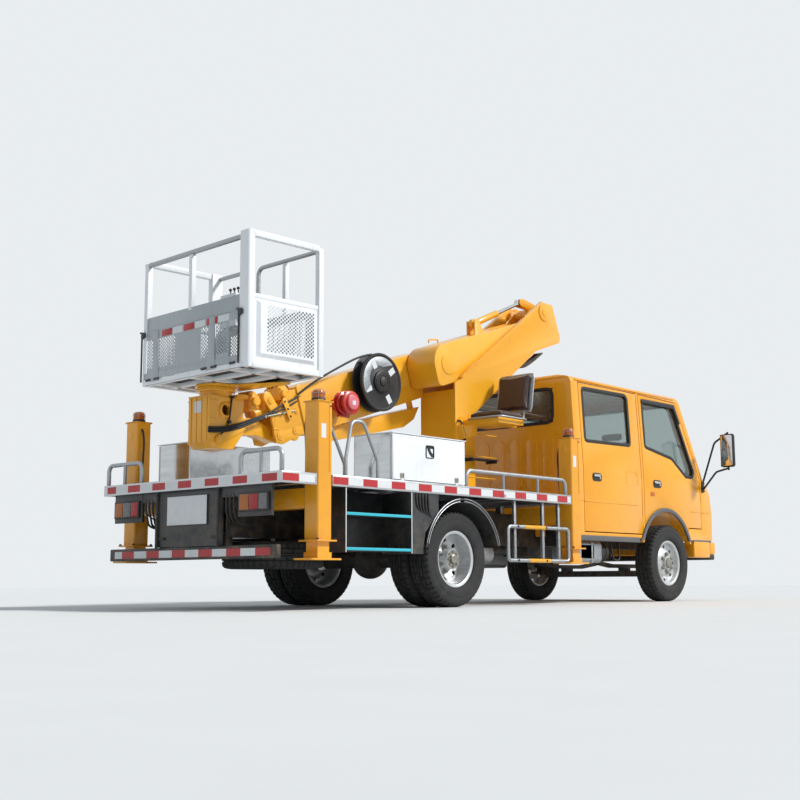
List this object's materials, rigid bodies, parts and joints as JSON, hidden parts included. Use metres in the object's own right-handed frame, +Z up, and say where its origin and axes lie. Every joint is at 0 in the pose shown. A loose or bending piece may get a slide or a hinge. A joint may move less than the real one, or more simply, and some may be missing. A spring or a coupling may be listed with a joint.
{
  "type": "cherry picker truck",
  "caption": "Double-cab utility truck with a lifting boom, swinging work basket, outrigger columns, toolboxes and a flat deck; wheels roll and steer, the arm luffs and extends",
  "frame": {"origin": "centre of the bounding box on the ground, under the middle of the truck's length", "axes": "+X forward along the truck, +Y to the truck's left, +Z up"},
  "size_m": [6.234, 2.45, 2.927],
  "materials": {
    "body_paint": "gloss",
    "white_paint": "satin",
    "deck_metal": "brushed",
    "frame_black": "satin",
    "rail_grey": "satin",
    "column_paint": "gloss",
    "engine_grey": "matt",
    "tank_silver": "satin",
    "tyre_rubber": "matt",
    "rim_paint": "satin",
    "window_glass": "gloss",
    "lamp_plastic": "gloss",
    "siren_red": "gloss",
    "black_plastic": "matt",
    "bumper_grey": "matt",
    "seat_fabric": "woven",
    "seat_leather": "satin",
    "drum_paint": "satin",
    "cylinder_paint": "gloss",
    "rod_chrome": "polished"
  },
  "bodies": {
    "truck": {"cab_shell": "body_paint", "turret": "body_paint", "toolboxes": "white_paint", "deck": "deck_metal", "chassis_frame": "frame_black", "leaf_springs": "frame_black", "axles": "frame_black", "rear_fenders": "frame_black", "rear_panel": "frame_black", "slew_base": "frame_black", "spare_wheel": "frame_black", "deck_rails": "rail_grey", "underrun_guards": "rail_grey", "outrigger_columns": "column_paint", "drivetrain": "engine_grey", "side_tanks": "tank_silver", "cab_glass": "window_glass", "lamps": "lamp_plastic", "mirrors": "black_plastic", "dashboard": "black_plastic", "front_bumper": "bumper_grey", "cab_seats": "seat_fabric", "operator_seat": "seat_leather"},
    "knuckle_right": {"knuckle_right": "frame_black"},
    "knuckle_left": {"knuckle_left": "frame_black"},
    "front_wheel_right": {"front_tyre_right": "tyre_rubber", "front_rim_right": "rim_paint"},
    "front_wheel_left": {"front_tyre_left": "tyre_rubber", "front_rim_left": "rim_paint"},
    "rear_wheels_right": {"rear_tyres_right": "tyre_rubber", "rear_rims_right": "rim_paint"},
    "rear_wheels_left": {"rear_tyres_left": "tyre_rubber", "rear_rims_left": "rim_paint"},
    "front_door_right": {"front_door_right": "body_paint", "front_door_glass_right": "window_glass"},
    "front_door_left": {"front_door_left": "body_paint", "front_door_glass_left": "window_glass"},
    "rear_door_right": {"rear_door_right": "body_paint", "rear_door_glass_right": "window_glass"},
    "rear_door_left": {"rear_door_left": "body_paint", "rear_door_glass_left": "window_glass"},
    "jack_rear_right": {"jack_leg_rear_right": "column_paint"},
    "jack_rear_left": {"jack_leg_rear_left": "column_paint"},
    "jack_front_right": {"jack_leg_front_right": "column_paint"},
    "jack_front_left": {"jack_leg_front_left": "column_paint"},
    "toolbox_door_right": {"toolbox_door_right": "white_paint"},
    "toolbox_door_left": {"toolbox_door_left": "white_paint"},
    "boom": {"boom_base": "body_paint", "cable_drum": "drum_paint", "siren": "siren_red"},
    "boom_slide": {"boom_inner": "body_paint"},
    "bracket": {"basket_mount": "body_paint"},
    "basket": {"basket_frame": "white_paint", "basket_panels": "white_paint"},
    "luff_barrel": {"luff_barrel": "cylinder_paint"},
    "luff_rod": {"luff_rod": "rod_chrome"},
    "level_barrel": {"level_barrel": "cylinder_paint"},
    "level_rod": {"level_rod": "rod_chrome"}
  },
  "joints": [
    {"name": "steer_right", "type": "hinge", "parent": "truck", "child": "knuckle_right", "pos_m": [2.165, -0.64, 0.37], "axis": [0, 0, 1], "range_deg": [-35, 35]},
    {"name": "steer_left", "type": "hinge", "parent": "truck", "child": "knuckle_left", "pos_m": [2.165, 0.64, 0.37], "axis": [0, 0, 1], "range_deg": [-35, 35]},
    {"name": "front_wheel_right", "type": "hinge", "parent": "knuckle_right", "child": "front_wheel_right", "pos_m": [2.165, -0.772, 0.37], "axis": [0, 1, 0], "continuous": true},
    {"name": "rear_wheels_right", "type": "hinge", "parent": "truck", "child": "rear_wheels_right", "pos_m": [-1.195, -0.727, 0.37], "axis": [0, 1, 0], "continuous": true},
    {"name": "front_wheel_left", "type": "hinge", "parent": "knuckle_left", "child": "front_wheel_left", "pos_m": [2.165, 0.772, 0.37], "axis": [0, 1, 0], "continuous": true},
    {"name": "rear_wheels_left", "type": "hinge", "parent": "truck", "child": "rear_wheels_left", "pos_m": [-1.195, 0.727, 0.37], "axis": [0, 1, 0], "continuous": true},
    {"name": "front_door_right", "type": "hinge", "parent": "truck", "child": "front_door_right", "pos_m": [2.852, -0.845, 0.9], "axis": [0, 0, 1], "range_deg": [0, 70]},
    {"name": "rear_door_right", "type": "hinge", "parent": "truck", "child": "rear_door_right", "pos_m": [1.705, -0.845, 0.9], "axis": [0, 0, 1], "range_deg": [0, 65]},
    {"name": "front_door_left", "type": "hinge", "parent": "truck", "child": "front_door_left", "pos_m": [2.852, 0.845, 0.9], "axis": [0, 0, -1], "range_deg": [0, 70]},
    {"name": "rear_door_left", "type": "hinge", "parent": "truck", "child": "rear_door_left", "pos_m": [1.705, 0.845, 0.9], "axis": [0, 0, -1], "range_deg": [0, 65]},
    {"name": "jack_rear_right", "type": "slide", "parent": "truck", "child": "jack_rear_right", "axis": [0, 0, -1], "range_m": [0, 0.45]},
    {"name": "jack_rear_left", "type": "slide", "parent": "truck", "child": "jack_rear_left", "axis": [0, 0, -1], "range_m": [0, 0.45]},
    {"name": "jack_front_right", "type": "slide", "parent": "truck", "child": "jack_front_right", "axis": [0, 0, -1], "range_m": [0, 0.45]},
    {"name": "jack_front_left", "type": "slide", "parent": "truck", "child": "jack_front_left", "axis": [0, 0, -1], "range_m": [0, 0.45]},
    {"name": "toolbox_door_right", "type": "hinge", "parent": "truck", "child": "toolbox_door_right", "pos_m": [-1.592, -0.99, 0.944], "axis": [1, 0, 0], "range_deg": [0, 90]},
    {"name": "toolbox_door_left", "type": "hinge", "parent": "truck", "child": "toolbox_door_left", "pos_m": [-2.194, 0.99, 0.944], "axis": [-1, 0, 0], "range_deg": [0, 90]},
    {"name": "boom_luff", "type": "hinge", "parent": "truck", "child": "boom", "pos_m": [1.07, 0, 2.797], "axis": [0, 1, 0], "range_deg": [0, 90]},
    {"name": "boom_extend", "type": "slide", "parent": "boom", "child": "boom_slide", "axis": [-0.9511, 0, -0.309], "range_m": [0, 1.2]},
    {"name": "basket_level", "type": "hinge", "parent": "boom_slide", "child": "bracket", "pos_m": [-2.057, 0.3, 1.345], "axis": [0, -1, 0], "range_deg": [0, 90]},
    {"name": "basket_swing", "type": "hinge", "parent": "bracket", "child": "basket", "pos_m": [-2.615, 0.3, 1.671], "axis": [0, 0, 1], "range_deg": [-86.7, 3.3]},
    {"name": "luff_barrel_swing", "type": "hinge", "parent": "truck", "child": "luff_barrel", "pos_m": [-0.235, -0.01, 1.6], "axis": [0, -1, 0], "range_deg": [0, 24.9]},
    {"name": "luff_rod_slide", "type": "slide", "parent": "luff_barrel", "child": "luff_rod", "axis": [0.801, 0, 0.5987], "range_m": [0, 0.503]},
    {"name": "level_barrel_swing", "type": "hinge", "parent": "boom", "child": "level_barrel", "pos_m": [0.18, -0.02, 2.567], "axis": [0, 1, 0], "range_deg": [0, 20]},
    {"name": "level_rod_slide", "type": "slide", "parent": "level_barrel", "child": "level_rod", "axis": [0.9158, 0, 0.4017], "range_m": [-0.002, 0.015]}
  ],
  "couplings": [
    {"joint": "steer_left", "follows": "steer_right", "ratio": 1},
    {"joint": "basket_level", "follows": "boom_luff", "ratio": 1},
    {"joint": "luff_barrel_swing", "follows": "boom_luff", "ratio": 0.26597},
    {"joint": "luff_rod_slide", "follows": "boom_luff", "m_per_rad": 0.31676},
    {"joint": "level_barrel_swing", "follows": "boom_luff", "ratio": 0.21166},
    {"joint": "level_rod_slide", "follows": "boom_luff", "m_per_rad": 0.00825}
  ]
}
